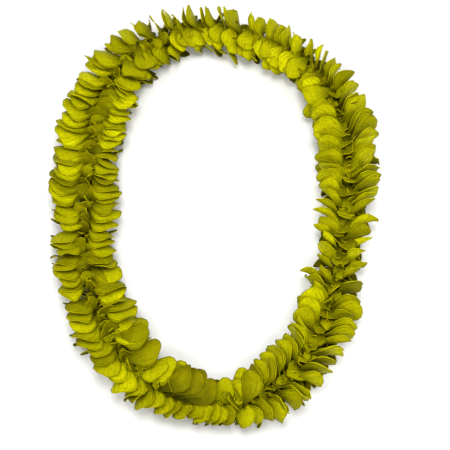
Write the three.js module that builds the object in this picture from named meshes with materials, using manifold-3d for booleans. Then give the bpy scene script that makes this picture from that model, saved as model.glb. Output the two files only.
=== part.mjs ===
// A fresh flower lei: 141 orchid florets threaded in file on one string, lying flat in a loop.
// Millimetres, +Z up. The origin is the middle of the loop's outline, on the surface it lies on.

import * as THREE from 'three';
import { mergeVertices } from 'three/addons/utils/BufferGeometryUtils.js';
import Module from 'manifold-3d';

const wasm = await Module();
wasm.setup();

// The string's route seen from above, starting at the knot and following the threading: x, y,
// how far the petals reach sideways from the string there, the twist of the outer and of the
// inner side petals about their own length, and the roll of the florets out of the loop.
const ROUTE = [
  [3, -161, 26, 50, 64, 0], [41, -152, 28, 46, 52, 0], [73, -125, 30, 42, 42, 0],
  [95, -85, 28, 36, 36, 0], [108, -43, 26, 24, 30, 0], [117, 3, 28, 20, 24, 0],
  [123, 49, 30, 20, 24, 0], [124, 95, 31, 24, 26, 0], [114, 140, 29, 24, 38, -6],
  [93, 177, 26, 18, 54, -18], [58, 204, 25, 14, 58, -24], [15, 220, 25, 12, 50, -25],
  [-29, 222, 26, 16, 50, -20], [-69, 208, 30, 34, 50, -12], [-99, 178, 34, 46, 46, -6],
  [-118, 138, 34, 50, 46, -8], [-128, 97, 35, 52, 46, -10], [-131, 53, 33, 50, 44, -8],
  [-129, 8, 30, 44, 46, -4], [-124, -39, 31, 50, 46, -6], [-109, -84, 33, 56, 50, -8],
  [-81, -125, 30, 58, 58, -4], [-42, -151, 26, 56, 64, 0],
];
const STRING_LENGTH = 1016;
const STRING_HEIGHT = 16.5;
const STRING_RADIUS = 0.75;
const STRING_STEPS = 50;

const BUNCHES = 47;
const FLORETS_PER_BUNCH = 3;
const FLORETS = BUNCHES * FLORETS_PER_BUNCH;

// The floret bases sit on the string like beads, so three of them make one short sleeve.
// Its flats face the petals that stand on them; the corners are given as azimuths in degrees.
const SLEEVE_RADIUS = 4.4;
const SLEEVE_CORNERS = [32, 92, 180, 268, 328];
const BORE_CORNERS = [45, 135, 225, 315];
const BORE_HALF = 1.6;
const JOINT_GAP = 0.3;

const KNOT_RADIUS = 1.9;
const KNOT_GAP = 4.4;
const TAIL_LENGTH = 8;
const TAIL_SPLAY = 12;

// The length of string that each floret takes.
const PITCH = (STRING_LENGTH - KNOT_GAP) / FLORETS;

// One petal of each kind. Angles are in degrees: azimuth from straight up towards the side,
// lean along the string from square to it, twist about the petal's own length. The seat is
// where its root sits along the floret. The edge runs up one side from the root, each point
// as a fraction of the length, a fraction of the half width and a thickness.
const WIDEST_AT = 0.66;
const SIDE_PETAL = {
  length: 36, width: 26, lean: 32, seat: -1.5, cup: 1.6, curl: -2.2,
  edge: [[0.28, 0.2, 1.3], [WIDEST_AT, 1, 0.8], [0.98, 0.42, 0.8]],
};
const TOP_SEPAL = {
  length: 17, width: 10.5, lean: -18, seat: 0, cup: 2.2, curl: 0,
  edge: [[0.74, 1, 1.3], [1, 0.5, 0.8]],
};
const LOW_SEPAL = {
  length: 31, width: 13, lean: -40, seat: 2, cup: 0.8, curl: 1.2,
  edge: [[0.55, 1, 1.6], [1, 0, 0.8]],
};
const TOP_AZIMUTH = 4;
const LOW_AZIMUTH = 134;
const LOW_TWIST = 20;

// The low sepals lie on the surface, so they follow only this share of a floret's roll.
const LOW_ROLL = 0.3;

// A floret is as large as the loop is wide there, within limits.
const USUAL_REACH = 31;
const SMALLEST_FLORET = 0.82;
const LARGEST_FLORET = 1.12;

// How much the florets differ: slow waves of roll, lean and twist along the loop, and a small
// draw for each petal of how it stands, of its turn in its own plane, and of its size.
const SEED = 9;
const ROLL_WAVE = { size: 4, rounds: 9, phase: 0.1 };
const LEAN_WAVE = { size: 5, rounds: 10, phase: 0.4 };
const TWIST_WAVE = { size: 4, rounds: 13, phase: 0.7 };
const STAND_DRAW = 0.3;
const TURN_DRAW = 2;
const SIZE_DRAW = 0.06;

const PETAL_COLOUR = 0xb3af08;
const STRING_COLOUR = 0xd8d4b4;

const rad = THREE.MathUtils.degToRad;

// One steady sequence of numbers from 0 to 1, the same on every run.
function seededNumbers(seed) {
  let state = seed;
  return () => {
    state = (1664525 * state + 1013904223) % 4294967296;
    return state / 4294967296;
  };
}

const draw = seededNumbers(SEED);

// A draw between -size and size.
const spread = (size) => (2 * draw() - 1) * size;

// The value of a slow wave at floret i. It runs a whole number of times round the loop.
function waveAt(i, { size, rounds, phase }) {
  return size * Math.sin(2 * Math.PI * (rounds * i / FLORETS + phase));
}

// The string as one closed curve of its real length.
function stringCurve() {
  const rough = new THREE.CatmullRomCurve3(
    ROUTE.map(([x, y]) => new THREE.Vector3(x, y, 0)), true, 'catmullrom', 0.5);
  rough.arcLengthDivisions = 2200;
  const scale = STRING_LENGTH / rough.getLength();
  const curve = new THREE.CatmullRomCurve3(
    ROUTE.map(([x, y]) => new THREE.Vector3(x * scale, y * scale, STRING_HEIGHT)),
    true, 'catmullrom', 0.5);
  curve.arcLengthDivisions = 2200;
  return curve;
}

const curve = stringCurve();

// Distance along the string in millimetres to the place there and its three directions:
// along the string, sideways out of the loop, and up.
function frameAt(distance) {
  const u = ((distance / STRING_LENGTH) % 1 + 1) % 1;
  const along = curve.getTangentAt(u);
  const up = new THREE.Vector3(0, 0, 1);
  return { place: curve.getPointAt(u), along, out: along.clone().cross(up), up };
}

// The petals' sideways reach, their outer and inner twist and their roll at a distance.
function standAt(distance) {
  const u = ((distance / STRING_LENGTH) % 1 + 1) % 1;
  const t = curve.getUtoTmapping(u) * ROUTE.length;
  const k = Math.floor(t);
  const share = THREE.MathUtils.smoothstep(t - k, 0, 1);
  const before = ROUTE[k % ROUTE.length].slice(2);
  const after = ROUTE[(k + 1) % ROUTE.length].slice(2);
  return before.map((value, n) => THREE.MathUtils.lerp(value, after[n], share));
}

// A closed solid from a three.js geometry.
function solid(geometry) {
  const bare = geometry.clone();
  bare.deleteAttribute('normal');
  bare.deleteAttribute('uv');
  const merged = mergeVertices(bare, 1e-4);
  return new wasm.Manifold(new wasm.Mesh({
    numProp: 3,
    vertProperties: new Float32Array(merged.attributes.position.array),
    triVerts: new Uint32Array(merged.index.array),
  }));
}

// A three.js geometry from a solid.
function geometryOf(body) {
  const mesh = body.getMesh();
  const geometry = new THREE.BufferGeometry();
  geometry.setAttribute('position', new THREE.BufferAttribute(mesh.vertProperties, 3));
  geometry.setIndex(new THREE.BufferAttribute(mesh.triVerts, 1));
  geometry.computeVertexNormals();
  return geometry;
}

// The triangles of one face, from the root, 0, and the n points of the rim, 1 to n: one at
// the root, then the raised edges on either side and the floor between them.
function facesOf(n) {
  const faces = [[0, 1, n]];
  if (n === 3) faces.push([1, 2, 3]);
  if (n === 4) faces.push([1, 2, 3], [1, 3, 4]);
  if (n === 6) faces.push([1, 2, 3], [6, 4, 5], [1, 3, 4], [1, 4, 6]);
  return faces;
}

// A petal as a thin closed blade, split alike on both faces. The two faces meet in one
// point at the root, and at a pointed tip the outline has one point instead of two.
// The edges are lifted by the cup and the tip by the curl.
function blade({ length, width, cup, curl, edge }, root, lengthwise, across) {
  const facing = lengthwise.clone().cross(across);
  const place = (u, v, height) => root.clone()
    .addScaledVector(lengthwise, u * length)
    .addScaledVector(across, v * width / 2)
    .addScaledVector(facing, cup * v * v + curl * u * u + height);
  const left = edge.filter(([, v]) => v > 0);
  const right = edge.map(([u, v, thick]) => [u, -v, thick]);
  const rim = [...right, ...left.reverse()];
  const n = rim.length;
  const points = [
    place(0, 0, 0),
    ...rim.map(([u, v, thick]) => place(u, v, thick / 2)),
    ...rim.map(([u, v, thick]) => place(u, v, -thick / 2)),
  ];
  const index = [];
  for (const [a, b, c] of facesOf(n)) {
    const under = (k) => (k === 0 ? 0 : n + k);
    index.push(a, b, c, under(a), under(c), under(b));
  }
  index.push(0, n + 1, 1, 0, n, 2 * n);
  for (let k = 1; k < n; k += 1) {
    index.push(k, n + k, n + k + 1, k, n + k + 1, k + 1);
  }
  const geometry = new THREE.BufferGeometry();
  geometry.setAttribute('position',
    new THREE.Float32BufferAttribute(points.flatMap((point) => point.toArray()), 3));
  geometry.setIndex(index);
  return geometry;
}

// One petal on its floret. The azimuth is positive on the outer side of the loop, where the
// twist turns the petal's upper edge back along the string.
function petal(kind, frame, usualSize, { azimuth, lean: leanExtra = 0, twist: turnBack = 0 }) {
  const angle = rad(azimuth + spread(STAND_DRAW));
  const lean = rad(kind.lean + leanExtra + spread(STAND_DRAW));
  const twist = -rad(turnBack + spread(STAND_DRAW));
  const turn = rad(spread(TURN_DRAW));
  const size = usualSize * (1 + spread(SIZE_DRAW));
  const radial = frame.up.clone().multiplyScalar(Math.cos(angle))
    .addScaledVector(frame.out, Math.sin(angle));
  const lengthwise = radial.clone().multiplyScalar(Math.cos(lean))
    .addScaledVector(frame.along, Math.sin(lean));
  const across = frame.along.clone().cross(radial).applyAxisAngle(lengthwise, twist);
  const facing = lengthwise.clone().cross(across);
  const root = frame.place.clone().addScaledVector(frame.along, kind.seat);
  const shape = { ...kind, length: kind.length * size, width: kind.width * size };
  return blade(shape, root, lengthwise.applyAxisAngle(facing, turn),
    across.applyAxisAngle(facing, turn));
}

// The azimuth that brings the edge of a side petal of this size out to the wanted reach.
function sideAzimuth(reach, size) {
  const middle = WIDEST_AT * SIDE_PETAL.length * size * Math.cos(rad(SIDE_PETAL.lean));
  return THREE.MathUtils.radToDeg(Math.asin((reach - SIDE_PETAL.width * size / 2) / middle));
}

// The petals of one floret: two broad side petals and the short top sepal. The middle floret
// of each bunch has a low sepal too, on the outer and the inner side by turns.
function floret(i) {
  const distance = KNOT_GAP / 2 + (i + 0.5) * PITCH;
  const frame = frameAt(distance);
  const [reach, outerTwist, innerTwist, tilt] = standAt(distance);
  const size = THREE.MathUtils.clamp(reach / USUAL_REACH, SMALLEST_FLORET, LARGEST_FLORET);
  const roll = tilt + waveAt(i, ROLL_WAVE) + spread(STAND_DRAW);
  const lean = waveAt(i, LEAN_WAVE);
  const more = waveAt(i, TWIST_WAVE);
  const side = sideAzimuth(reach, size);
  const petals = [
    petal(SIDE_PETAL, frame, size, { azimuth: roll + side, lean, twist: outerTwist + more }),
    petal(SIDE_PETAL, frame, size, { azimuth: roll - side, lean, twist: -innerTwist - more }),
    petal(TOP_SEPAL, frame, size, { azimuth: roll + TOP_AZIMUTH }),
  ];
  if (i % FLORETS_PER_BUNCH === 1) {
    const lowSide = i % 2 ? 1 : -1;
    const azimuth = lowSide * LOW_AZIMUTH + roll * LOW_ROLL;
    petals.push(petal(LOW_SEPAL, frame, 1, { azimuth, lean, twist: lowSide * LOW_TWIST }));
  }
  return petals;
}

// A straight prism round the string between two places on it. Its ends are mitred square to
// the string, so that neighbours in a bend stay the same gap apart.
function prism(start, end, radius, corners) {
  const axis = end.place.clone().sub(start.place).normalize();
  const out = axis.clone().cross(start.up);
  const rings = [end, start].map((frame) => corners.map((azimuth) => {
    const offset = start.up.clone().multiplyScalar(radius * Math.cos(rad(azimuth)))
      .addScaledVector(out, radius * Math.sin(rad(azimuth)));
    const slide = -offset.dot(frame.along) / axis.dot(frame.along);
    return frame.place.clone().add(offset).addScaledVector(axis, slide);
  }));
  const n = corners.length;
  const index = [];
  for (let k = 1; k < n - 1; k += 1) {
    index.push(0, k, k + 1, n, n + k + 1, n + k);
  }
  for (let k = 0; k < n; k += 1) {
    const next = (k + 1) % n;
    index.push(k, n + k, n + next, k, n + next, next);
  }
  const geometry = new THREE.BufferGeometry();
  geometry.setAttribute('position',
    new THREE.Float32BufferAttribute(rings.flat().flatMap((point) => point.toArray()), 3));
  geometry.setIndex(index);
  return geometry;
}

// The part of the string inside one bunch, with a little more at either end if asked.
function stretch(bunch, overrun) {
  const length = FLORETS_PER_BUNCH * PITCH;
  const start = frameAt(KNOT_GAP / 2 + bunch * length + JOINT_GAP / 2);
  const end = frameAt(KNOT_GAP / 2 + (bunch + 1) * length - JOINT_GAP / 2);
  const axis = end.place.clone().sub(start.place).normalize();
  start.place.addScaledVector(axis, -overrun);
  end.place.addScaledVector(axis, overrun);
  return [start, end];
}

// The bases of one bunch in file, and the hole for the string through them.
function sleeve(bunch) {
  const roll = waveAt((bunch + 0.5) * FLORETS_PER_BUNCH, ROLL_WAVE);
  const corners = SLEEVE_CORNERS.map((azimuth) => azimuth + roll);
  const outer = solid(prism(...stretch(bunch, 0), SLEEVE_RADIUS, corners));
  const bore = solid(prism(...stretch(bunch, 1), BORE_HALF * Math.SQRT2, BORE_CORNERS));
  return { outer, bore };
}

// A box that takes away all that would lie under the surface.
function underSurface() {
  const size = 700;
  const depth = 60;
  return solid(new THREE.BoxGeometry(size, size, depth).translate(0, 0, -depth / 2));
}

const under = underSurface();

// The florets of one bunch as one solid: the sleeve, its petals, the string's hole.
function bunchSolid(bunch) {
  const { outer, bore } = sleeve(bunch);
  const first = bunch * FLORETS_PER_BUNCH;
  const petals = [];
  for (let i = first; i < first + FLORETS_PER_BUNCH; i += 1) {
    petals.push(...floret(i).map(solid));
  }
  const joined = petals.reduce((sum, one) => sum.add(one), outer);
  return joined.subtract(bore).subtract(under);
}

// The string: one tube round the loop with both ends in the knot, and the two cut ends.
function stringSolid() {
  const steps = STRING_STEPS;
  const margin = KNOT_RADIUS * 0.4 / STRING_LENGTH;
  const points = Array.from({ length: steps + 1 },
    (_, k) => curve.getPointAt(margin + (1 - 2 * margin) * k / steps));
  const path = new THREE.CatmullRomCurve3(points);
  path.arcLengthDivisions = 2200;
  const section = new THREE.Shape(
    new THREE.EllipseCurve(0, 0, STRING_RADIUS, STRING_RADIUS).getPoints(4).slice(0, 4));
  const tube = solid(new THREE.ExtrudeGeometry(section, { steps, extrudePath: path }));
  const frame = frameAt(0);
  const knot = solid(new THREE.IcosahedronGeometry(KNOT_RADIUS, 0)
    .translate(...frame.place.toArray()));
  const tails = [1, -1].map((side) => {
    const tail = new THREE.CylinderGeometry(STRING_RADIUS, STRING_RADIUS, TAIL_LENGTH, 6);
    tail.translate(0, TAIL_LENGTH / 2, 0);
    const direction = frame.up.clone().applyAxisAngle(frame.along, rad(side * TAIL_SPLAY));
    tail.applyQuaternion(new THREE.Quaternion().setFromUnitVectors(
      new THREE.Vector3(0, 1, 0), direction));
    return solid(tail.translate(...frame.place.toArray()));
  });
  return tails.reduce((sum, one) => sum.add(one), tube.add(knot));
}

const petalMaterial = new THREE.MeshStandardMaterial({
  color: PETAL_COLOUR, roughness: 0.6, metalness: 0,
});
const stringMaterial = new THREE.MeshStandardMaterial({
  color: STRING_COLOUR, roughness: 0.9, metalness: 0,
});

function named(name, geometry, material) {
  const mesh = new THREE.Mesh(geometry, material);
  mesh.name = name;
  return mesh;
}

const lei = new THREE.Group();
for (let bunch = 0; bunch < BUNCHES; bunch += 1) {
  const number = String(bunch + 1).padStart(2, '0');
  lei.add(named(`florets_${number}`, geometryOf(bunchSolid(bunch)), petalMaterial));
}
lei.add(named('string', geometryOf(stringSolid()), stringMaterial));

// The origin is put under the middle of the loop's outline.
const box = new THREE.Box3().setFromObject(lei);
const middle = box.getCenter(new THREE.Vector3());
lei.position.set(-middle.x, -middle.y, -box.min.z);
lei.updateMatrixWorld(true);

export default lei;
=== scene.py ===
"""A fresh flower lei of chartreuse orchid florets, finished on its CAD frame.

Metres, +Z up. Each bunch of florets in the frame gets finer petals in the same places, and the
string gets its twist. The sizes and colours are settings in the sidebar of the 3D view.
"""

import math

import bmesh
import bpy
import numpy as np
from bpy.props import FloatProperty, FloatVectorProperty, PointerProperty
from mathutils import Matrix, Vector


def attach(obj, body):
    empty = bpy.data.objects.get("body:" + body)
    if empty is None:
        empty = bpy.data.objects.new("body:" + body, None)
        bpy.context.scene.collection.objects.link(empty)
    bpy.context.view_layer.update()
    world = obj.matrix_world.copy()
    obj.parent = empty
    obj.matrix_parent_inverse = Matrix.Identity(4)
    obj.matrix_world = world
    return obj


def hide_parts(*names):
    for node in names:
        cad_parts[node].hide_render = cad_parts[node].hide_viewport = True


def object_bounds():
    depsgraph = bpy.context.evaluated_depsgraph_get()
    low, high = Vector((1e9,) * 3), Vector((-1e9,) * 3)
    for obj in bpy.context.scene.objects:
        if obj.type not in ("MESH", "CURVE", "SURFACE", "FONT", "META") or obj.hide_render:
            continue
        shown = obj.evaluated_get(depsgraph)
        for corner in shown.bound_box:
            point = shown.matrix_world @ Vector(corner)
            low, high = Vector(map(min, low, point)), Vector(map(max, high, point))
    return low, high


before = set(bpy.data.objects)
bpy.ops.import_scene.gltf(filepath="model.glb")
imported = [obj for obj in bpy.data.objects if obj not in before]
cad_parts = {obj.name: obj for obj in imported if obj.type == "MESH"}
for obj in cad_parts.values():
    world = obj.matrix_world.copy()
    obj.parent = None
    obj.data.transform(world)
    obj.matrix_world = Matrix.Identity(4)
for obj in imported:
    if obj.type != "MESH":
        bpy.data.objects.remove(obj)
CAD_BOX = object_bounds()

bl_info = {
    "name": "Fresh Flower Lei",
    "version": (1, 0, 0),
    "blender": (4, 5, 0),
    "location": "View3D > Sidebar > Lei",
    "description": "Models a lei of strung orchid florets on its CAD frame",
    "category": "Add Mesh",
}

# The string's route seen from above, starting at the knot and following the threading: x, y,
# how far the petals reach sideways from the string there, the twist of the outer and of the
# inner side petals about their own length, and the roll of the florets out of the loop. All but
# the twists are as in the frame. The twists are this script's own.
ROUTE = np.array([
    (0.003, -0.161, 0.026, 28, 58, 0), (0.041, -0.152, 0.028, -2, 12, 0),
    (0.073, -0.125, 0.030, -6, 6, 0), (0.095, -0.085, 0.028, 20, 26, 0),
    (0.108, -0.043, 0.026, 2, 8, 0), (0.117, 0.003, 0.028, 10, 12, 0),
    (0.123, 0.049, 0.030, 6, 12, 0), (0.124, 0.095, 0.031, -8, 4, 0),
    (0.114, 0.140, 0.029, -6, 16, -6), (0.093, 0.177, 0.026, 8, 54, -18),
    (0.058, 0.204, 0.025, 5, 58, -24), (0.015, 0.220, 0.025, 5, 50, -25),
    (-0.029, 0.222, 0.026, 9, 50, -20), (-0.069, 0.208, 0.030, 34, 46, -12),
    (-0.099, 0.178, 0.034, 46, 42, -6), (-0.118, 0.138, 0.034, 50, 41, -8),
    (-0.128, 0.097, 0.035, 52, 42, -10), (-0.131, 0.053, 0.033, 50, 42, -8),
    (-0.129, 0.008, 0.030, 44, 42, -4), (-0.124, -0.039, 0.031, 50, 40, -6),
    (-0.109, -0.084, 0.033, 54, 42, -8), (-0.081, -0.125, 0.030, 54, 50, -4),
    (-0.042, -0.151, 0.026, 56, 64, 0),
])
# Where the route's own zero lies in the frame.
ROUTE_ORIGIN = np.array([0.0036380, -0.0286511])
ROUTE_STEPS = 2200
STRING_LENGTH = 1.016
STRING_HEIGHT = 0.0165
STRING_RADIUS = 0.00075
KNOT_GAP = 0.0044

BUNCHES = 47
FLORETS_PER_BUNCH = 3
FLORETS = BUNCHES * FLORETS_PER_BUNCH
PITCH = (STRING_LENGTH - KNOT_GAP) / FLORETS

# The frame's side petals. Their size gives the azimuth at which they reach far enough.
SIDE_LENGTH = 0.036
SIDE_WIDTH = 0.026

# A floret is as large as the loop is wide there, within limits.
USUAL_REACH = 0.031
SMALLEST_FLORET = 0.82
LARGEST_FLORET = 1.12

# How each kind of petal stands: lean along the string in degrees, seat along the floret and
# lift above the string in metres, cup, which is the angle to which its edges turn up in
# radians, and how far its tip lifts off its plane in metres. An inset petal's root lies that
# much past the string, half as much at the loop's sides, so that its blade covers the middle.
SIDE_STAND = {"lean": 32, "seat": -0.0015, "lift": 0, "inset": 0, "cup": 0.30, "curl": -0.0022}
PROUD_STAND = {"lean": 16, "seat": 0, "lift": 0.011, "inset": 0.010, "cup": 0.30,
               "curl": -0.009}
ROLLED_STAND = {"lean": 14, "seat": -0.0015, "lift": 0, "inset": 0, "cup": 1.50, "curl": 0.0030}
TOP_STAND = {"lean": -48, "seat": 0, "lift": 0, "inset": 0, "cup": 0.60, "curl": -0.0015}
LOW_STAND = {"lean": -40, "seat": 0.002, "lift": 0, "inset": 0, "cup": 0.30, "curl": 0.0012}
HORN_STAND = {"lean": -27, "seat": 0.002, "lift": -0.001, "inset": 0, "cup": 0.60,
              "curl": 0.0040}
FRINGE_STAND = {"lean": -56, "seat": 0.002, "lift": 0, "inset": 0, "cup": 0.60,
                "curl": 0.0020}
LIP_STAND = {"lean": 10, "seat": 0.0032, "lift": 0, "inset": 0, "cup": 0.60, "curl": -0.0020}
LEAST_INSET = 0.5

# How far along its length a side petal of the frame is widest, and where the other kinds of
# petal stand, in degrees: azimuth from straight up, twist, and the lip's swing to either side.
WIDEST_AT = 0.66
TOP_AZIMUTH = 4
LOW_AZIMUTH = 134
LOW_TWIST = 20
SHORT_LOW_AZIMUTH = 114
LIP_SWING = 30

# The long low sepals past the outer petals, which are this much smaller at the loop's narrow
# end, and those past the inner petals, which are a fringe at its wide end.
HORN_AZIMUTH = 99
HORN_SHRINK = 0.14
FRINGE_AZIMUTH = 97
FRINGE_SIZE = 1.12

# The low sepals lie on the surface, so they follow only this share of a floret's roll.
LOW_ROLL = 0.3

# How much the florets differ, drawn in the same order as in the frame.
SEED = 9
ROLL_WAVE = {"size": 4, "rounds": 9, "phase": 0.1}
LEAN_WAVE = {"size": 5, "rounds": 10, "phase": 0.4}
TWIST_WAVE = {"size": 4, "rounds": 13, "phase": 0.7}
STAND_DRAW = 0.3
TURN_DRAW = 2
SIZE_DRAW = 0.06

# The finer draws of this script have a sequence of their own.
FINE_SEED = 77

# How much more each petal differs in this script: azimuth, lean, twist and turn in degrees,
# seat in metres and size as a share.
SIDE_FREE = {"azimuth": 5, "lean": 6, "twist": 9, "turn": 9, "seat": 0.0012, "size": 0.07}
ROLLED_FREE = {"azimuth": 13, "lean": 14, "twist": 26, "turn": 12, "seat": 0.002, "size": 0.16}
TOP_FREE = {"azimuth": 16, "lean": 18, "twist": 26, "turn": 20, "seat": 0.003, "size": 0.20}
LOW_FREE = {"azimuth": 7, "lean": 9, "twist": 16, "turn": 8, "seat": 0.0012, "size": 0.08}
FRINGE_FREE = {"azimuth": 10, "lean": 14, "twist": 30, "turn": 10, "seat": 0.002, "size": 0.12}
LIP_FREE = {"azimuth": 26, "lean": 24, "twist": 40, "turn": 20, "seat": 0.002, "size": 0.15}

# How much the blades' curves differ: the cup by a share of its own and at most this many
# radians, the curl in metres and the warp in radians. A rim's number of waves is one of three,
# from the fewest on, and their height lies between this share of the usual one and 1 more.
CUP_DRAW = 0.7
MOST_CUP_DRAW = 0.35
CURL_DRAW = 0.0024
WARP_DRAW = 0.3
FEWEST_WAVES = 2
WAVE_CHOICES = 3
LEAST_WAVE = 0.3

# The waves go round one point on a blade's middle line and grow towards the rim from another.
# Both are shares of its length, as is half the oval over which the waves grow.
WAVE_MIDDLE = 0.55
RIM_MIDDLE = 0.62
RIM_HALF = 0.40
RIM_MOST = 1.1

# Slow waves of the side petals' twist in this script, in degrees.
OUTER_WAVE = {"size": 7, "rounds": 7, "phase": 0.2}
INNER_WAVE = {"size": 7, "rounds": 11, "phase": 0.55}

# The shares of florets at each point of the route whose outer petal is rolled in lengthwise,
# whose inner petal lies proud of its neighbours, and whose outer and inner low sepals reach past
# the petals, how loosely the petals lie, and how far the florets sit towards the hole.
HABITS = np.array([
    (0.10, 0.20, 0.25, 0.0, 0.8, 0), (0.10, 0.00, 0.30, 0.0, 0.7, 0),
    (0.10, 0.00, 0.35, 0.0, 0.7, 0), (0.20, 0.00, 0.25, 0.0, 1.0, 0),
    (0.95, 0.00, 0.06, 0.0, 1.2, 0), (0.45, 0.00, 0.06, 0.0, 1.0, 0),
    (0.06, 0.00, 0.15, 0.0, 0.9, 0), (0.15, 0.06, 0.15, 0.0, 1.4, 0),
    (0.30, 0.12, 0.20, 0.0, 1.4, 0), (0.60, 0.40, 0.50, 0.8, 1.0, 0),
    (0.65, 0.50, 0.60, 1.0, 0.8, 0), (0.65, 0.50, 0.60, 1.0, 0.8, 0),
    (0.70, 0.50, 0.60, 0.8, 0.8, 0), (0.60, 0.40, 0.60, 0.3, 1.0, 0.001),
    (0.30, 0.15, 0.80, 0.0, 0.7, 0.001), (0.10, 0.04, 0.95, 0.0, 0.4, 0.003),
    (0.05, 0.04, 0.95, 0.0, 0.4, 0.005), (0.05, 0.06, 0.95, 0.0, 0.6, 0.002),
    (0.10, 0.05, 0.95, 0.0, 0.9, 0), (0.10, 0.05, 0.90, 0.0, 0.8, 0),
    (0.06, 0.10, 0.70, 0.0, 0.6, 0), (0.06, 0.20, 0.45, 0.0, 0.6, 0),
    (0.10, 0.35, 0.25, 0.0, 0.8, 0),
])

# How a proud petal lies, in degrees, and its share of the usual size.
PROUD_AZIMUTH = 90
PROUD_TWIST = 74
PROUD_SIZE = 1.05

# On the right side, where the threading runs this nearly along +Y, the inner petal is rolled in
# as the outer one is, at this share of the usual size.
BOTH_ROLLED_FROM = 0.8
ROLLED_INNER_SIZE = 0.92

# The inner petals are this much smaller at the loop's wide end. At its narrow end they are
# swept this many degrees further along the string and are this much larger, in full where the
# threading runs this much or more along -Y, and less and less up to as much along +Y. On the
# left side they are swept too.
INNER_SHRINK = 0.12
INNER_SWEEP = 28
INNER_GROWTH = 0.10
SWEEP_FADE = 0.25
LEFT_SWEEP = 5

# The top sepals lie flatter on the right side of the loop than on the left, by twice this, and
# are this share larger there.
TOP_SWAY = 14
TOP_GROWTH = 0.1

# How bright each kind of petal is, from 0, dark olive, to 1, bright chartreuse: the middle, what
# the right side and the narrow end add to it, and the most that a draw adds or takes away. What
# the right side adds is painted light. A floret's two side petals start from the floret's own
# brightness. Proud ones are darker at the narrow end. Rolled ones are darker, painted shade, but
# on the right side a little brighter, painted light.
TONES = {
    "floret": (0.65, 0.03, -0.14, 0.28),
    "top": (0.20, 0.08, 0, 0.22),
    "low": (0.20, 0, 0, 0.20),
    "horn": (0.15, 0, 0, 0.20),
    "fringe": (0.55, 0, 0, 0.35),
    "lip": (0.35, 0, 0, 0.30),
}
SIDE_TONE_DRAW = 0.2
PROUD_SHADE = 0.45
ROLLED_SHADE = 0.25
RIGHT_ROLLED_LIGHT = 0.35
BASE_TONE = 0.1

# The rows of a petal from claw to tip: share of the length, share of the half width, how far
# the middle of the row bows towards the tip, and how far the row is set off to one side.
SIDE_SHAPES = {
    "broad": [
        (0.00, 0.12, 0.00, 0.00), (0.18, 0.22, 0.00, 0.00), (0.36, 0.52, 0.00, 0.00),
        (0.56, 0.92, 0.00, 0.00), (0.76, 0.98, 0.01, 0.00), (0.90, 0.74, 0.02, 0.00),
        (0.965, 0.40, 0.035, 0.00),
    ],
    "fan": [
        (0.00, 0.12, 0.00, 0.00), (0.19, 0.24, 0.00, 0.02), (0.38, 0.54, 0.00, 0.04),
        (0.58, 0.86, 0.00, 0.04), (0.78, 1.00, 0.02, 0.00), (0.92, 0.80, 0.02, -0.04),
        (0.985, 0.46, 0.00, -0.06),
    ],
    "pointed": [
        (0.00, 0.12, 0.00, 0.00), (0.17, 0.24, 0.00, 0.00), (0.34, 0.60, 0.00, 0.00),
        (0.52, 0.94, 0.00, 0.00), (0.70, 0.88, 0.00, 0.00), (0.86, 0.56, 0.01, 0.00),
        (0.965, 0.20, 0.03, 0.00),
    ],
    "lopsided": [
        (0.00, 0.12, 0.00, 0.00), (0.18, 0.22, 0.00, 0.04), (0.36, 0.52, 0.00, 0.10),
        (0.56, 0.88, -0.01, 0.12), (0.76, 0.95, 0.01, 0.04), (0.90, 0.66, 0.03, -0.12),
        (0.965, 0.34, 0.05, -0.24),
    ],
}
TOP_SHAPES = {
    "paddle": [
        (0.00, 0.20, 0.00, 0.00), (0.28, 0.36, 0.00, 0.00), (0.58, 0.54, 0.00, 0.00),
        (0.84, 0.50, 0.02, 0.00), (0.965, 0.26, 0.03, 0.00),
    ],
    "spoon": [
        (0.00, 0.20, 0.00, 0.00), (0.28, 0.62, 0.00, 0.00), (0.58, 1.00, 0.00, 0.00),
        (0.84, 0.86, 0.02, 0.00), (0.965, 0.46, 0.03, 0.00),
    ],
    "slanted": [
        (0.00, 0.20, 0.00, 0.00), (0.28, 0.64, 0.00, 0.08), (0.58, 0.96, 0.00, 0.10),
        (0.84, 0.74, 0.03, -0.06), (0.965, 0.34, 0.04, -0.22),
    ],
}
LOW_SHAPE = [
    (0.00, 0.16, 0.00, 0.00), (0.20, 0.50, 0.00, 0.00), (0.42, 0.92, 0.00, 0.00),
    (0.62, 1.00, 0.00, 0.00), (0.82, 0.66, 0.00, 0.00), (0.96, 0.22, 0.02, 0.00),
]
LIP_SHAPE = [
    (0.00, 0.40, 0.00, 0.00), (0.30, 0.80, 0.00, 0.00), (0.65, 1.00, 0.01, 0.00),
    (0.92, 0.60, 0.03, 0.00),
]

# How many faces lie across each kind of petal.
SIDE_FACES = 5
TOP_FACES = 4
LOW_FACES = 3

# The long low sepals' length and width as shares of the short ones'.
LONG_LENGTH = 1.2
LONG_WIDTH = 0.85

# A floret's base as a bead: its sides, its length as a share of the pitch, its ends' radius as
# a share of the base radius, how much its middle is swollen, and its bore as a share of the
# string's radius.
BASE_SIDES = 10
BASE_LENGTH = 0.96
BASE_END = 0.8
BASE_SWELL = 1.22
BASE_BORE = 1.4

# Edges of a petal or a base that turn more sharply than this stay crisp.
CRISP_ANGLE = math.radians(50)

# A petal that comes nearer to the surface, or to the frame's box, than this is bent back.
SOFT_EDGE = 0.0016

# How much finer the veins are across a blade than along it, and how much of the rim's colour
# shows at the edge of a blade's face and on the thin side of its rim. The rim's colour is partly
# the petals' own darker edge and partly a painted shadow line where petals overlap.
VEINS_ACROSS = 16
FACE_RIM_SHADOW = 0.85
SIDE_RIM_SHADOW = 0.2

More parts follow.
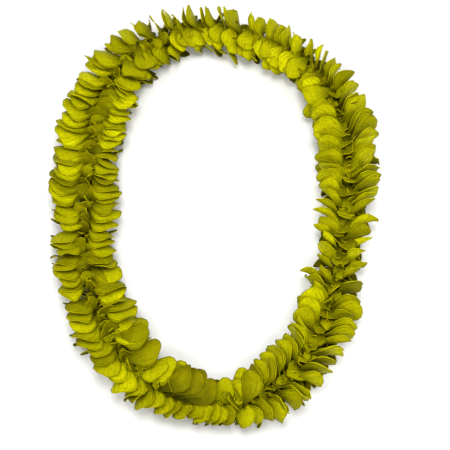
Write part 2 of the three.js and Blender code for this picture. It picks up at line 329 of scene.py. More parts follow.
# The patterns on a petal: how fine each is, how many finer layers it has, and how strong those
# are. The petals' satin has the names of the shader's inputs.
VEINS = (1.6, 2, 0.5)
PATCHES = (85, 3, 0.55)
SPECKS = (420, 2, 0.6)
SATIN = {"Specular IOR Level": 0.12, "Specular Tint": (1, 0.97, 0.2, 1),
         "Subsurface Weight": 0.06, "Subsurface Radius": (1, 0.9, 0.1),
         "Subsurface Scale": 0.0015}

# How matt the string and the floor are.
MATT = 0.9

# The knot's turns, and the thread in it and in the cut ends, as shares of the string's radius.
KNOT_STEPS = 48
KNOT_SIZE = 0.55
KNOT_SPREAD = 0.75
KNOT_DEPTH = 1.2
KNOT_THREAD = 0.8
TAIL_THREAD = 0.85
TAIL_STEPS = 6
TAIL_LENGTH = 0.0078
TAIL_SPLAY = 12
TAIL_KINK = 0.0003

# How dark the string is between its plies.
PLY_SHADE = 0.55

# The floor, and the soft square lights above it and on its four sides, in metres. The side
# lights have these shares of their power.
FLOOR_SIZE = 6
OVERHEAD_HEIGHT = 1.5
OVERHEAD_SIZE = 0.6
SIDE_LIGHT_DISTANCE = 1.1
SIDE_LIGHT_HEIGHT = 1.2
SIDE_LIGHT_SIZE = 0.7
SIDE_LIGHT_SHARES = {"right": 1.1, "back": 0.4, "left": 1, "front": 1.25}

# The camera looks down from the loop's narrow end, at a place a little right of its middle.
AIM = Vector((0.00798, -0.02216, 0.020))
IMAGE_PIXELS = 450
FOCAL_PIXELS = 963.7
SENSOR_WIDTH = 0.036


def draws(seed):
    """One steady sequence of numbers from 0 to 1, the same on every run."""
    state = seed
    while True:
        state = (1664525 * state + 1013904223) % 4294967296
        yield state / 4294967296


def spread(sequence, size):
    """A draw between -size and size."""
    return (2 * next(sequence) - 1) * size


def wave_at(i, size, rounds, phase):
    """The value of a slow wave at floret i. It runs a whole number of times round the loop."""
    return size * math.sin(2 * math.pi * (rounds * i / FLORETS + phase))


def along_route(route, share):
    """Places and directions on the smooth closed curve through the route."""
    count = len(route)
    place = (np.atleast_1d(share) % 1) * count
    first = np.floor(place).astype(int)
    w = (place - first)[:, None]
    before, start, end, after = (route[(first + step) % count] for step in (-1, 0, 1, 2))
    leave = (end - before) / 2
    arrive = (after - start) / 2
    square = 3 * (end - start) - 2 * leave - arrive
    cube = 2 * (start - end) + leave + arrive
    return (start + leave * w + square * w ** 2 + cube * w ** 3,
            leave + 2 * square * w + 3 * cube * w ** 2)


class Thread:
    """The string's closed curve at its real length."""

    def __init__(self):
        shares = np.linspace(0, 1, ROUTE_STEPS + 1)
        points, _ = along_route(ROUTE[:, :2], shares)
        steps = np.linalg.norm(np.diff(points, axis=0), axis=1)
        self.route = ROUTE[:, :2] * STRING_LENGTH / steps.sum()
        self.shares = shares
        self.lengths = np.concatenate([[0], np.cumsum(steps)]) / steps.sum()

    def share_at(self, distance):
        """The curve's own share of its route at a distance along the string."""
        return np.interp((distance / STRING_LENGTH) % 1, self.lengths, self.shares)

    def frame_at(self, distance):
        """The place at a distance, and its directions along the string, outwards and up."""
        point, direction = along_route(self.route, self.share_at(distance))
        flat = point[0] + ROUTE_ORIGIN
        place = Vector((flat[0], flat[1], STRING_HEIGHT))
        along = Vector((direction[0][0], direction[0][1], 0)).normalized()
        up = Vector((0, 0, 1))
        return place, along, along.cross(up), up

    def stand_at(self, distance):
        """The petals' sideways reach, outer and inner twist and roll at a distance."""
        share = float(self.share_at(distance)) * len(ROUTE)
        k = int(share)
        w = share - k
        before = ROUTE[k % len(ROUTE)][2:]
        after = ROUTE[(k + 1) % len(ROUTE)][2:]
        return before + (after - before) * w * w * (3 - 2 * w)

    def habits_at(self, distance):
        """The shares of rolled, proud and reaching pieces, looseness and shift at a distance."""
        share = float(self.share_at(distance)) * len(HABITS)
        k = int(share)
        before, after = HABITS[k % len(HABITS)], HABITS[(k + 1) % len(HABITS)]
        return before + (after - before) * (share - k)


def deselect():
    """Leaves edit mode and selects nothing."""
    if bpy.context.object and bpy.context.object.mode == "EDIT":
        bpy.ops.object.mode_set(mode="OBJECT")
    bpy.ops.object.select_all(action="DESELECT")


def make_active(piece):
    """Selects one object alone."""
    deselect()
    piece.select_set(True)
    bpy.context.view_layer.objects.active = piece


def select_points(piece, numbers):
    """In edit mode, selects the points with these numbers alone."""
    bpy.ops.mesh.select_all(action="DESELECT")
    mesh = bmesh.from_edit_mesh(piece.data)
    mesh.verts.ensure_lookup_table()
    for number in numbers:
        mesh.verts[number].select_set(True)
    bmesh.update_edit_mesh(piece.data)


def apply_modifier(piece, kind, **values):
    """Adds a modifier with these values and applies it."""
    make_active(piece)
    modifier = piece.modifiers.new(kind.lower(), kind)
    for name, value in values.items():
        setattr(modifier, name, value)
    bpy.ops.object.modifier_apply(modifier=modifier.name)


def model_petal(name, length, width, thickness, rows, across, materials):
    """A flat petal pattern along +X, from a grid whose rows are moved and scaled in place."""
    deselect()
    bpy.ops.mesh.primitive_grid_add(
        x_subdivisions=len(rows) - 1, y_subdivisions=across, size=1)
    piece = bpy.context.object
    piece.name = name
    start = [point.co.copy() for point in piece.data.vertices]
    columns = sorted({round(place.x, 5) for place in start})
    bpy.ops.object.mode_set(mode="EDIT")
    for column, (reach, half, bow, shift) in zip(columns, rows):
        row = [k for k, place in enumerate(start) if abs(place.x - column) < 1e-4]
        select_points(piece, row)
        bpy.ops.transform.resize(value=(1, width * half, 1), center_override=(0, 0, 0))
        bpy.ops.transform.translate(
            value=(reach * length - column, shift * width / 2, 0))
        for k in row:
            select_points(piece, [k])
            share = 1 - (2 * start[k].y) ** 2
            bpy.ops.transform.translate(value=(bow * length * share, 0, 0))
    bpy.ops.object.mode_set(mode="OBJECT")
    mark_blade(piece, start)
    for material in materials:
        piece.data.materials.append(material)
    apply_modifier(piece, "SOLIDIFY", thickness=thickness, offset=0,
                   material_offset_rim=len(materials) - 1)
    bpy.ops.object.shade_smooth_by_angle(angle=CRISP_ANGLE)
    piece.hide_render = True
    return piece


def mark_points(piece, name, values):
    """Stores a number for each point of a mesh under a name that its materials read."""
    marks = piece.data.attributes.new(name, "FLOAT", "POINT")
    marks.data.foreach_set("value", np.asarray(values, np.float32))


def blade_layer(piece):
    """A mesh's own UV map, under the name that its materials read."""
    layer = piece.data.uv_layers.active or piece.data.uv_layers.new()
    layer.name = "blade"
    return layer


def mark_blade(piece, start):
    """Stores how far along and across each point is, and which points are on the rim."""
    across = np.array([place.y + 0.5 for place in start])
    along = np.array([place.x + 0.5 for place in start])
    mark_points(piece, "rim", (np.abs(across - 0.5) > 0.499) | (along > 0.999))
    corners = np.array([corner.vertex_index for corner in piece.data.loops])
    blade_layer(piece).data.foreach_set("uv", np.stack([across, along], 1)[corners].ravel())


def model_base(name, length, radius, bore, material):
    """One floret's base along +X, a swollen bead with a hole for the string."""
    deselect()
    bpy.ops.mesh.primitive_cylinder_add(
        vertices=BASE_SIDES, radius=radius, depth=length, rotation=(0, math.pi / 2, 0))
    piece = bpy.context.object
    piece.name = name
    bpy.ops.object.transform_apply(location=True, rotation=True, scale=True)
    bpy.ops.object.mode_set(mode="EDIT")
    bpy.ops.mesh.select_all(action="DESELECT")
    mesh = bmesh.from_edit_mesh(piece.data)
    for face in mesh.faces:
        face.select_set(abs(face.normal.x) > 0.9)
    bmesh.update_edit_mesh(piece.data)
    bpy.ops.mesh.inset(thickness=radius - bore, use_individual=True)
    bpy.ops.mesh.bridge_edge_loops()
    bpy.ops.mesh.select_all(action="DESELECT")
    mesh = bmesh.from_edit_mesh(piece.data)
    skin = radius * 0.9
    for edge in mesh.edges:
        outer = all(math.hypot(end.co.y, end.co.z) > skin for end in edge.verts)
        edge.select_set(outer and abs(edge.verts[0].co.x - edge.verts[1].co.x) > length / 2)
    bmesh.update_edit_mesh(piece.data)
    bpy.ops.mesh.subdivide(number_cuts=2)
    middle = length * 0.3
    swollen = [point.index for point in bmesh.from_edit_mesh(piece.data).verts
               if abs(point.co.x) < middle and math.hypot(*point.co.yz) > skin]
    select_points(piece, swollen)
    bpy.ops.transform.resize(value=(1, BASE_SWELL, BASE_SWELL), center_override=(0, 0, 0))
    bpy.ops.object.mode_set(mode="OBJECT")
    piece.data.materials.append(material)
    mark_points(piece, "rim", np.zeros(len(piece.data.vertices)))
    blade_layer(piece)
    bpy.ops.object.shade_smooth_by_angle(angle=CRISP_ANGLE)
    piece.hide_render = True
    return piece


def points_of(piece):
    """The places of a mesh's points, one row each."""
    places = np.empty(len(piece.data.vertices) * 3)
    piece.data.vertices.foreach_get("co", places)
    return places.reshape(-1, 3)


def copy_pattern(pattern, places, tone):
    """A copy of a pattern with its own mesh, its points at the given places."""
    piece = bpy.data.objects.new(pattern.name, pattern.data.copy())
    bpy.context.collection.objects.link(piece)
    piece.data.vertices.foreach_set("co", places.ravel())
    mark_points(piece, "tone", np.full(len(places), tone))
    return piece


def keep_in_box(places):
    """Points that would leave the frame's box, or sink into the surface, are bent back."""
    for axis in range(3):
        for way, limit in ((-1, CAD_BOX[0][axis]), (1, CAD_BOX[1][axis])):
            room = (limit - places[:, axis]) * way
            near = room < SOFT_EDGE
            bent = SOFT_EDGE * np.exp(room[near] / SOFT_EDGE - 1)
            places[near, axis] = limit - way * bent
    return places


def shape_blade(flat, cup, curl, wave, rounds, phase, warp):
    """A flat blade curved: rolled about its length, curled, waved at the rim and warped."""
    length, half = flat[:, 0].max(), flat[:, 1].max()
    u, v = flat[:, 0] / length, flat[:, 1] / half
    bearing = np.arctan2(v, (u - WAVE_MIDDLE) * 2)
    rim = np.clip(np.hypot(v, (u - RIM_MIDDLE) / RIM_HALF), 0, RIM_MOST) ** 3
    lift = (half * (1 - np.cos(v * cup)) / cup + curl * u ** 2
            + wave * rim * np.sin(rounds * bearing + phase) + flat[:, 2])
    side = half * np.sin(v * cup) / cup
    turn = warp * u ** 2
    return np.stack([flat[:, 0], side * np.cos(turn) - lift * np.sin(turn),
                     side * np.sin(turn) + lift * np.cos(turn)], 1)


class Floret:
    """One floret's own frame on the string, and the draws that make it differ."""

    def __init__(self, i, thread, drawn, fine, settings):
        distance = KNOT_GAP / 2 + (i + 0.5) * PITCH
        self.i = i
        self.place, self.along, self.out, self.up = thread.frame_at(distance)
        self.drawn = drawn
        self.fine = fine
        self.settings = settings
        reach, outer_twist, inner_twist, tilt = thread.stand_at(distance)
        self.size = min(max(reach / USUAL_REACH, SMALLEST_FLORET), LARGEST_FLORET)
        self.roll = tilt + wave_at(i, **ROLL_WAVE) + spread(drawn, STAND_DRAW)
        self.lean = wave_at(i, **LEAN_WAVE)
        more = wave_at(i, **TWIST_WAVE)
        self.twist = {1: outer_twist + more + wave_at(i, **OUTER_WAVE),
                      -1: -inner_twist - more + wave_at(i, **INNER_WAVE)}
        middle = (WIDEST_AT * SIDE_LENGTH * self.size
                  * math.cos(math.radians(SIDE_STAND["lean"])))
        side = (reach - SIDE_WIDTH * self.size / 2) / middle
        self.azimuth = math.degrees(math.asin(side))
        *shares, self.loose, shift = thread.habits_at(distance)
        self.root = self.place - self.out * shift
        inner = (reach - shift) * (1 - INNER_SHRINK * max(self.out.y, 0))
        self.reach = {1: (reach + shift) / reach, -1: inner / reach}
        self.rolled, self.proud, self.horned, self.fringed = (
            next(fine) < share for share in shares)

    def petal(self, pattern, stand, free, tone, sequence, azimuth, lean=0, twist=0, usual=1,
              side=0):
        """A copy of a petal pattern, curved and set on the floret."""
        azimuth += spread(sequence, STAND_DRAW)
        lean += stand["lean"] + spread(sequence, STAND_DRAW)
        twist += spread(sequence, STAND_DRAW)
        turn = spread(sequence, TURN_DRAW)
        size = usual * (1 + spread(sequence, SIZE_DRAW))
        loose = max(self.loose, 1) if free is TOP_FREE else self.loose
        more = {name: spread(self.fine, most) * loose for name, most in free.items()}
        angle, lean, twist, turn = (math.radians(value) for value in (
            azimuth + more["azimuth"], lean + more["lean"], -twist + more["twist"],
            turn + more["turn"]))
        size *= 1 + more["size"]
        radial = self.up * math.cos(angle) + self.out * math.sin(angle)
        lengthwise = radial * math.cos(lean) + self.along * math.sin(lean)
        across = Matrix.Rotation(twist, 3, lengthwise) @ self.along.cross(radial)
        facing = lengthwise.cross(across)
        turned = Matrix.Rotation(turn, 3, facing)
        axes = np.array([turned @ lengthwise, turned @ across, facing])
        root = np.array(self.root + self.along * (stand["seat"] + more["seat"])
                        + self.up * stand["lift"]
                        - self.out * side * stand["inset"]
                        * max(abs(self.out.y), LEAST_INSET))
        blade = shape_blade(
            points_of(pattern) * (size, size, 1),
            cup=stand["cup"] + spread(self.fine, min(CUP_DRAW * stand["cup"], MOST_CUP_DRAW)),
            curl=stand["curl"] + spread(self.fine, CURL_DRAW) * loose,
            wave=self.settings.wave * (LEAST_WAVE + next(self.fine)),
            rounds=FEWEST_WAVES + int(WAVE_CHOICES * next(self.fine)),
            phase=2 * math.pi * next(self.fine), warp=spread(self.fine, WARP_DRAW))
        return copy_pattern(pattern, keep_in_box(blade @ axes + root), tone)

    def tone(self, kind):
        """The brightness of a petal of one kind, by its place in the loop and a draw. What the
        loop's right side adds is painted light.
        """
        middle, right, narrow, size = TONES[kind]
        middle = middle + right * self.along.y + narrow * max(-self.out.y, 0)
        return tone_near(self.fine, middle, size)

    def base(self, pattern):
        """The floret's base, threaded on the string."""
        axes = np.array([self.along, self.out, self.up])
        places = points_of(pattern) @ axes + np.array(self.place)
        return copy_pattern(pattern, places, BASE_TONE)


def tone_near(fine, middle, size):
    """A brightness from 0 to 1, at most this far from the middle."""
    return min(max(middle + spread(fine, size), 0), 1)


def choose(fine, patterns):
    """One of the patterns by draw."""
    return patterns[int(len(patterns) * next(fine))]


def grow_side_petal(floret, patterns, side, fresh):
    """One side petal, usual, rolled in lengthwise, or proud of its neighbours."""
    drawn, fine = floret.drawn, floret.fine
    shape, stand, free = choose(fine, patterns["side"]), SIDE_STAND, SIDE_FREE
    azimuth, twist, shade = floret.azimuth, floret.twist[side], 0
    size = floret.size * floret.reach[side]
    lean = floret.lean
    if side < 0:
        fade = min(max((SWEEP_FADE - floret.along.y) / (2 * SWEEP_FADE), 0), 1)
        swept = max(-floret.out.y, 0) * fade
        lean += INNER_SWEEP * swept + LEFT_SWEEP * max(-floret.along.y, 0)
        size *= 1 + INNER_GROWTH * swept
    if floret.rolled and (side > 0 or floret.along.y > BOTH_ROLLED_FROM):
        shape, stand, free = patterns["rolled"], ROLLED_STAND, ROLLED_FREE
        size *= 1 if side > 0 else ROLLED_INNER_SIZE
        # Painted shade on rolled petals, which turns to painted light on the loop's right side.
        shade = ROLLED_SHADE - RIGHT_ROLLED_LIGHT * max(floret.along.y, 0)
    elif side < 0 and floret.proud:
        stand, azimuth, twist = PROUD_STAND, PROUD_AZIMUTH, -PROUD_TWIST
        shade = PROUD_SHADE * max(-floret.out.y, 0)
        size *= PROUD_SIZE
    return floret.petal(
        shape, stand, free, tone_near(fine, fresh - shade, SIDE_TONE_DRAW), drawn,
        floret.roll + side * azimuth, lean, twist, size, side)


def grow_low_sepal(floret, patterns, side, held):
    """One of the sepals below. The held one is where the frame has it."""
    kind, pattern, stand, free = "low", patterns["low"], LOW_STAND, LOW_FREE
    azimuth, size, sequence = SHORT_LOW_AZIMUTH, floret.size, floret.fine
    if held:
        azimuth, size, sequence = LOW_AZIMUTH, 1, floret.drawn
    elif side < 0 and floret.fringed:
        kind, pattern, stand, free = "fringe", patterns["long"], FRINGE_STAND, FRINGE_FREE
        azimuth, size = FRINGE_AZIMUTH, floret.size * FRINGE_SIZE
    elif side > 0 and floret.horned:
        kind, pattern, stand = "horn", patterns["long"], HORN_STAND
        azimuth = HORN_AZIMUTH
        size = floret.size * (1 - HORN_SHRINK * max(-floret.out.y, 0))
    return floret.petal(
        pattern, stand, free, floret.tone(kind), sequence,
        side * azimuth + floret.roll * LOW_ROLL, floret.lean, side * LOW_TWIST, size)


def grow_floret(floret, patterns):
    """All the petals of one floret, with its lip and base."""
    drawn, fine = floret.drawn, floret.fine
    fresh = floret.tone("floret")
    pieces = [grow_side_petal(floret, patterns, side, fresh) for side in (1, -1)]
    pieces.append(floret.petal(
        choose(fine, patterns["top"]), TOP_STAND, TOP_FREE, floret.tone("top"), drawn,
        floret.roll + TOP_AZIMUTH, -TOP_SWAY * floret.along.y, 0,
        floret.size * (1 + TOP_GROWTH * floret.along.y)))
    held_side = 0
    if floret.i % FLORETS_PER_BUNCH == 1:
        held_side = 1 if floret.i % 2 else -1
    for side in (held_side, -held_side) if held_side else (1, -1):
        pieces.append(grow_low_sepal(floret, patterns, side, side == held_side))
    pieces.append(floret.petal(
        patterns["lip"], LIP_STAND, LIP_FREE, floret.tone("lip"), fine,
        floret.roll + spread(fine, LIP_SWING), 0, 0, floret.size))
    pieces.append(floret.base(patterns["base"]))
    return pieces


def join_pieces(pieces, name):
    """Joins pieces into one object that sits at the origin."""
    deselect()
    for piece in pieces:
        piece.select_set(True)
    bpy.context.view_layer.objects.active = pieces[0]
    bpy.ops.object.join()
    piece = bpy.context.object
    piece.name = name
    piece.data.name = name
    return piece


def set_inputs(node, inputs):
    """Gives each of these inputs of a node its value, or links it to its socket."""
    for key, value in inputs.items():
        if isinstance(value, bpy.types.NodeSocket):
            node.id_data.links.new(value, node.inputs[key])
        else:
            node.inputs[key].default_value = value


def new_material(name):
    """A node material, its shader, and a function that adds a node to it."""
    material = bpy.data.materials.new(name)
    material.use_nodes = True
    nodes = material.node_tree.nodes

    def add(kind, inputs=None, **values):
        node = nodes.new(kind)
        for key, value in values.items():
            setattr(node, key, value)
        set_inputs(node, inputs or {})
        return node

    return material, nodes["Principled BSDF"], add


def mix(add, share, first, second):
    """The mix of two colours, either of them a colour or a socket."""
    node = add("ShaderNodeMix", {0: share, 6: first, 7: second}, data_type="RGBA")
    return node.outputs[2]


def ramp(add, value, start, end, low, high):
    """A number that goes evenly from low, where the value is at start, to high, at end."""
    node = add("ShaderNodeMapRange", {"Value": value, "From Min": start, "From Max": end,
                                      "To Min": low, "To Max": high})
    return node.outputs["Result"]


def noise(add, place, scale, detail, roughness):
    """Soft noise over the places."""
    node = add("ShaderNodeTexNoise", {"Vector": place, "Scale": scale, "Detail": detail,
                                      "Roughness": roughness})
    return node.outputs["Fac"]


def petal_material(name, depth_shade, dark, bright, warm, rim_and_shadow_colour, rim_and_shadow_share):
    """Fresh petal: its own tone, fine veins from the claw, painted shade at the claw and low
    down, a rim partly its own and partly painted shadow, and soft satin.
    """
    material, shader, add = new_material(name)
    place = add("ShaderNodeTexCoord").outputs["Object"]
    height = add("ShaderNodeSeparateXYZ", {"Vector": place}).outputs["Z"]
    blade = add("ShaderNodeUVMap", uv_map="blade").outputs["UV"]
    across, along, _ = add("ShaderNodeSeparateXYZ", {"Vector": blade}).outputs
    tone = add("ShaderNodeAttribute", attribute_name="tone").outputs["Fac"]
    rim = add("ShaderNodeAttribute", attribute_name="rim").outputs["Fac"]
    sideways = add("ShaderNodeMath", {0: across, 1: VEINS_ACROSS}, operation="MULTIPLY")
    fan = add("ShaderNodeCombineXYZ", {"X": sideways.outputs["Value"], "Y": along, "Z": tone})
    veins = noise(add, fan.outputs["Vector"], *VEINS)
    patches = noise(add, place, *PATCHES)
    specks = noise(add, place, *SPECKS)
    colour = mix(add, tone, dark, bright)
    # Each colour's share goes with a pattern, or with a place on the petal. Towards the claw and
    # where the petal lies low, the colour goes to the depth shade colour, painted shade that
    # stands in for the shade deep in the lei.
    for share, tint in (
            (ramp(add, patches, 0.40, 0.68, 0, 0.35), warm),
            (ramp(add, specks, 0.48, 0.70, 0, 0.40), dark),
            (ramp(add, veins, 0.36, 0.56, 0.44, 0), dark),
            (ramp(add, along, 0.08, 0.58, 0.95, 0), depth_shade),
            (ramp(add, height, 0.004, 0.020, 0.7, 0), depth_shade),
            # At the rim: the petal's own darker edge and a painted shadow line where petals
            # overlap.
            (ramp(add, rim, 0.68, 1, 0, rim_and_shadow_share), rim_and_shadow_colour)):
        colour = mix(add, share, colour, tint)
    roughness = ramp(add, patches, 0.3, 0.7, 0.48, 0.68)
    uneven = add("ShaderNodeBump", {"Height": patches, "Strength": 0.5, "Distance": 0.0035})
    bump = add("ShaderNodeBump", {"Height": veins, "Strength": 0.45, "Distance": 0.0005,
                                  "Normal": uneven.outputs["Normal"]})
    set_inputs(shader, {"Base Color": colour, "Roughness": roughness,
                        "Normal": bump.outputs["Normal"], **SATIN})
    return material


def string_material(settings):
    """Twisted cotton, matt, with its plies as fine slanting bands."""
    material, shader, add = new_material("cotton_string")
    turns = add("ShaderNodeUVMap", uv_map="blade")
    slant = add("ShaderNodeMapping", {"Vector": turns.outputs["UV"], "Scale": (2, 1, 1)})
    plies = add("ShaderNodeTexWave", {"Vector": slant.outputs["Vector"], "Scale": 1,
                                      "Distortion": 0.6, "Detail": 2},
                bands_direction="DIAGONAL")
    dark = tuple(PLY_SHADE * value for value in settings.string_colour[:3]) + (1,)
    colour = mix(add, plies.outputs["Fac"], dark, tuple(settings.string_colour))
    bump = add("ShaderNodeBump", {"Height": plies.outputs["Fac"], "Strength": 0.5,
                                  "Distance": 0.0002})
    set_inputs(shader, {"Base Color": colour, "Roughness": MATT,
                        "Normal": bump.outputs["Normal"]})
    return material


def cord_piece(name, points, radius, closed, material):
    """A round cord through the points, made a mesh."""
    curve = bpy.data.curves.new(name, "CURVE")
    curve.dimensions = "3D"
    curve.bevel_depth = radius
    curve.bevel_resolution = 2
    curve.use_fill_caps = True
    line = curve.splines.new("POLY")
    line.points.add(len(points) - 1)
    for point, place in zip(line.points, points):
        point.co = (*place, 1)
    line.use_cyclic_u = closed
    piece = bpy.data.objects.new(name, curve)
    bpy.context.collection.objects.link(piece)
    make_active(piece)
    bpy.ops.object.convert(target="MESH")
    piece = bpy.context.object
    bpy.ops.object.shade_smooth()
    piece.data.materials.append(material)
    return piece


class FloretSettings(bpy.types.PropertyGroup):
    """Sizes of one floret's pieces."""

    side_length: FloatProperty(
        name="Side petal length", description="Claw to tip of a broad side petal",
        default=SIDE_LENGTH, unit="LENGTH")
    side_width: FloatProperty(
        name="Side petal width", description="Across a broad side petal",
        default=SIDE_WIDTH, unit="LENGTH")
    rolled_width: FloatProperty(
        name="Rolled petal width", description="Across a rolled petal laid flat",
        default=0.0145, unit="LENGTH")
    top_length: FloatProperty(
        name="Top sepal length", description="Root to tip of the sepal in the middle",
        default=0.0185, unit="LENGTH")
    top_width: FloatProperty(
        name="Top sepal width", description="Across the sepal in the middle",
        default=0.022, unit="LENGTH")
    low_length: FloatProperty(
        name="Low sepal length", description="Root to tip of a sepal below",
        default=0.031, unit="LENGTH")
    low_width: FloatProperty(
        name="Low sepal width", description="Across a sepal below",
        default=0.013, unit="LENGTH")
    lip_length: FloatProperty(
        name="Lip length", description="Root to tip of the small lip",
        default=0.0115, unit="LENGTH")
    lip_width: FloatProperty(
        name="Lip width", description="Across the small lip",
        default=0.0065, unit="LENGTH")
    thickness: FloatProperty(
        name="Petal thickness", description="Thickness of every petal",
        default=0.0008, unit="LENGTH")
    wave: FloatProperty(
        name="Rim wave", description="How high the rims of the petals wave",
        default=0.0017, unit="LENGTH")
    base_radius: FloatProperty(
        name="Base radius", description="About the radius of a floret's base in its middle",
        default=0.0034, unit="LENGTH")


class ColourSettings(bpy.types.PropertyGroup):
    """Colours of the petals and the string."""

    bright: FloatVectorProperty(
        name="Chartreuse", description="The brightest petals", size=4, subtype="COLOR",
        default=(0.76, 0.75, 0.003, 1), min=0, max=1)
    dark: FloatVectorProperty(
        name="Olive", description="The darkest petals and the veins", size=4,
        subtype="COLOR", default=(0.17, 0.16, 0.002, 1), min=0, max=1)
    # Painted shade: the colour the petals go to at their claws and where they lie low, standing
    # in for the shade deep in the lei.
    depth_shade: FloatVectorProperty(
        name="Painted_shade", description="The petals' narrow claws, deep in the lei", size=4,
        subtype="COLOR", default=(0.035, 0.036, 0.001, 1), min=0, max=1)
    warm: FloatVectorProperty(
        name="Warm patches", description="Warmer patches on the petals", size=4,
        subtype="COLOR", default=(0.52, 0.46, 0.003, 1), min=0, max=1)
    # The rim colour is partly the petals' own darker edge and partly a painted shadow line where
    # petals overlap.
    rim: FloatVectorProperty(
        name="Rim", description="The darker rims of the petals", size=4, subtype="COLOR",
        default=(0.11, 0.105, 0.002, 1), min=0, max=1)
    string_colour: FloatVectorProperty(
        name="String", description="The cotton string", size=4, subtype="COLOR",
        default=(0.68, 0.65, 0.45, 1), min=0, max=1)
    floor: FloatVectorProperty(
        name="Floor", description="The plain pale floor", size=4, subtype="COLOR",
        default=(0.97, 0.97, 0.97, 1), min=0, max=1)


class StageSettings(bpy.types.PropertyGroup):
    """Camera and lights."""

    camera_distance: FloatProperty(
        name="Camera distance", description="From the camera to what it looks at",
        default=0.9, unit="LENGTH")
    camera_elevation: FloatProperty(
        name="Camera elevation", description="How high above the surface the camera stands",
        default=math.radians(67.90), subtype="ANGLE")
    camera_roll: FloatProperty(
        name="Camera roll", description="How far the camera is turned about its own view",
        default=math.radians(-0.69), subtype="ANGLE")
    overhead_power: FloatProperty(
        name="Overhead light", description="Power of the large soft light above",
        default=10, min=0, unit="POWER")
    side_power: FloatProperty(
        name="Side lights", description="Power of each soft light on the four sides",
        default=6, min=0, unit="POWER")
    sky_strength: FloatProperty(
        name="Sky strength", description="Even light from all round", default=0.10, min=0)


class LEI_OT_florets(bpy.types.Operator):
    """Models each kind of petal once and strings fine florets in every bunch's place"""

    bl_idname = "lei.florets"
    bl_label = "Strung Florets"

    def execute(self, context):
        sizes = context.scene.lei_florets
        colours = context.scene.lei_colours
        depth_shade, dark, bright, warm, rim = (tuple(colour) for colour in (
            colours.depth_shade, colours.dark, colours.bright, colours.warm, colours.rim))
        blade = petal_material("petal_blade", depth_shade, dark, bright, warm, rim, FACE_RIM_SHADOW)
        # The petals' thin sides are paler than their faces: partly the petals' own paler rim and
        # partly a painted highlight on their lit edges. Their painted shade at the claw and low
        # down is olive, and a little olive painted shadow shows at the rim.
        edge = petal_material("petal_rim", dark, warm, bright, bright, dark, SIDE_RIM_SHADOW)
        finish = [blade, edge]
        thick = sizes.thickness
        patterns = {
            "side": [model_petal(f"side_petal_{name}", sizes.side_length, sizes.side_width,
                                 thick, rows, SIDE_FACES, finish)
                     for name, rows in SIDE_SHAPES.items()],
            "rolled": model_petal("rolled_petal", sizes.side_length, sizes.rolled_width,
                                  thick, SIDE_SHAPES["pointed"], SIDE_FACES, finish),
            "top": [model_petal(f"top_sepal_{name}", sizes.top_length, sizes.top_width,
                                thick, rows, TOP_FACES, finish)
                    for name, rows in TOP_SHAPES.items()],
            "low": model_petal("low_sepal", sizes.low_length, sizes.low_width, thick,
                               LOW_SHAPE, LOW_FACES, finish),
            "long": model_petal("long_sepal", sizes.low_length * LONG_LENGTH,
                                sizes.low_width * LONG_WIDTH, thick, LOW_SHAPE, LOW_FACES,
                                finish),
            "lip": model_petal("lip", sizes.lip_length, sizes.lip_width, thick,
                               LIP_SHAPE, LOW_FACES, finish),
            "base": model_base("floret_base", PITCH * BASE_LENGTH,
                               sizes.base_radius * BASE_END, STRING_RADIUS * BASE_BORE,
                               blade),
        }
        thread = Thread()
        drawn, fine = draws(SEED), draws(FINE_SEED)
        for bunch in range(BUNCHES):
            pieces = []
            for k in range(FLORETS_PER_BUNCH):
                i = bunch * FLORETS_PER_BUNCH + k
                floret = Floret(i, thread, drawn, fine, sizes)
                pieces += grow_floret(floret, patterns)
            piece = join_pieces(pieces, f"fresh_florets_{bunch + 1:02d}")
            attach(piece, "root")
            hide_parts(f"florets_{bunch + 1:02d}")
        for made in patterns.values():
            for pattern in made if isinstance(made, list) else [made]:
                bpy.data.objects.remove(pattern)
        return {"FINISHED"}


class LEI_OT_string(bpy.types.Operator):
    """Models the cotton string through the florets, with its knot and cut ends"""

    bl_idname = "lei.string"
    bl_label = "Cotton String"

    def execute(self, context):
        cotton = string_material(context.scene.lei_colours)
        thread = Thread()
        steps = FLORETS * 2
        run = [thread.frame_at(STRING_LENGTH * k / steps)[0] for k in range(steps)]
        loop = cord_piece("loop", run, STRING_RADIUS, True, cotton)
        place, along, out, up = thread.frame_at(0)
        turns = np.linspace(0, 2 * math.pi, KNOT_STEPS, endpoint=False)
        size = STRING_RADIUS * KNOT_SIZE
        knot_line = [
            place + along * (size * (math.sin(t) + 2 * math.sin(2 * t)) * KNOT_SPREAD)
            + out * (size * (math.cos(t) - 2 * math.cos(2 * t)) * KNOT_SPREAD)
            + up * (-size * KNOT_DEPTH * math.sin(3 * t)) for t in turns]
        knot = cord_piece("knot", knot_line, STRING_RADIUS * KNOT_THREAD, True, cotton)
        tails = []
        for side in (1, -1):
            slope = Matrix.Rotation(math.radians(side * TAIL_SPLAY), 3, along) @ up
            line = [place + slope * (TAIL_LENGTH * k / TAIL_STEPS)
                    + out * (TAIL_KINK * math.sin(k * side)) for k in range(TAIL_STEPS + 1)]
            tails.append(cord_piece("tail", line, STRING_RADIUS * TAIL_THREAD, False, cotton))
        piece = join_pieces([loop, knot, *tails], "cotton_string")
        blade_layer(piece)
        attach(piece, "root")
        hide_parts("string")
        return {"FINISHED"}


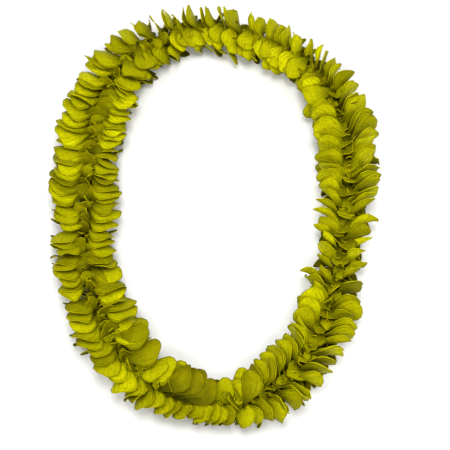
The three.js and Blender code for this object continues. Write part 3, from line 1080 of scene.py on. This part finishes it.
class LEI_OT_stage(bpy.types.Operator):
    """Sets the plain pale floor, the soft lights and the camera"""

    bl_idname = "lei.stage"
    bl_label = "Stage"

    def execute(self, context):
        settings = context.scene.lei_stage
        deselect()
        bpy.ops.mesh.primitive_plane_add(size=FLOOR_SIZE, location=(0, 0, 0))
        floor = bpy.context.object
        floor.name = "floor"
        material, shader, _ = new_material("pale_floor")
        set_inputs(shader, {"Base Color": tuple(context.scene.lei_colours.floor),
                            "Roughness": MATT, "Specular IOR Level": 0.1})
        floor.data.materials.append(material)
        self.light("overhead", (0, 0, OVERHEAD_HEIGHT), OVERHEAD_SIZE, settings.overhead_power)
        for k, (name, share) in enumerate(SIDE_LIGHT_SHARES.items()):
            turn = math.pi / 2 * k
            place = (SIDE_LIGHT_DISTANCE * math.cos(turn), SIDE_LIGHT_DISTANCE * math.sin(turn),
                     SIDE_LIGHT_HEIGHT)
            self.light(name, place, SIDE_LIGHT_SIZE, settings.side_power * share)
        world = bpy.data.worlds.new("soft_sky")
        world.use_nodes = True
        set_inputs(world.node_tree.nodes["Background"],
                   {"Color": (1, 1, 1, 1), "Strength": settings.sky_strength})
        context.scene.world = world
        context.scene.view_settings.view_transform = "Standard"
        context.scene.view_settings.look = "Medium High Contrast"
        self.camera(context, settings)
        return {"FINISHED"}

    def light(self, name, place, size, power):
        """A large square light that looks at the loop."""
        data = bpy.data.lights.new(name, "AREA")
        data.size = size
        data.energy = power
        lamp = bpy.data.objects.new(name, data)
        bpy.context.collection.objects.link(lamp)
        lamp.location = place
        lamp.rotation_euler = (-Vector(place)).to_track_quat("-Z", "Y").to_euler()

    def camera(self, context, settings):
        """The camera at the photograph's place."""
        data = bpy.data.cameras.new("camera")
        data.sensor_width = SENSOR_WIDTH * 1000
        data.lens = FOCAL_PIXELS / IMAGE_PIXELS * data.sensor_width
        camera = bpy.data.objects.new("camera", data)
        context.collection.objects.link(camera)
        tilt = settings.camera_elevation
        ahead = Vector((0, math.cos(tilt), -math.sin(tilt)))
        up = Vector((0, math.sin(tilt), math.cos(tilt)))
        turn = Matrix.Rotation(-settings.camera_roll, 3, ahead)
        right, up = turn @ ahead.cross(up), turn @ up
        axes = Matrix((right, up, -ahead)).transposed().to_4x4()
        camera.matrix_world = Matrix.Translation(AIM - ahead * settings.camera_distance) @ axes
        context.scene.camera = camera


class LEI_PT_panel(bpy.types.Panel):
    """The lei's settings and steps in the sidebar"""

    bl_label = "Fresh Flower Lei"
    bl_idname = "LEI_PT_panel"
    bl_space_type = "VIEW_3D"
    bl_region_type = "UI"
    bl_category = "Lei"

    def draw(self, context):
        for name in SETTINGS:
            box = self.layout.box()
            settings = getattr(context.scene, name)
            for key in settings.__annotations__:
                box.prop(settings, key)
        for step in STEPS:
            self.layout.operator(step.bl_idname)


SETTINGS = {
    "lei_florets": FloretSettings,
    "lei_colours": ColourSettings,
    "lei_stage": StageSettings,
}
STEPS = (LEI_OT_stage, LEI_OT_string, LEI_OT_florets)


def register():
    """Adds the settings, the steps and the panel."""
    for name, kind in SETTINGS.items():
        bpy.utils.register_class(kind)
        setattr(bpy.types.Scene, name, PointerProperty(type=kind))
    for kind in (*STEPS, LEI_PT_panel):
        bpy.utils.register_class(kind)


def unregister():
    """Takes the panel, the steps and the settings away again."""
    for kind in (LEI_PT_panel, *reversed(STEPS)):
        bpy.utils.unregister_class(kind)
    for name, kind in SETTINGS.items():
        delattr(bpy.types.Scene, name)
        bpy.utils.unregister_class(kind)


def main():
    """Makes the stage, the string and the florets."""
    register()
    bpy.ops.lei.stage()
    bpy.ops.lei.string()
    bpy.ops.lei.florets()


if __name__ == "__main__":
    main()
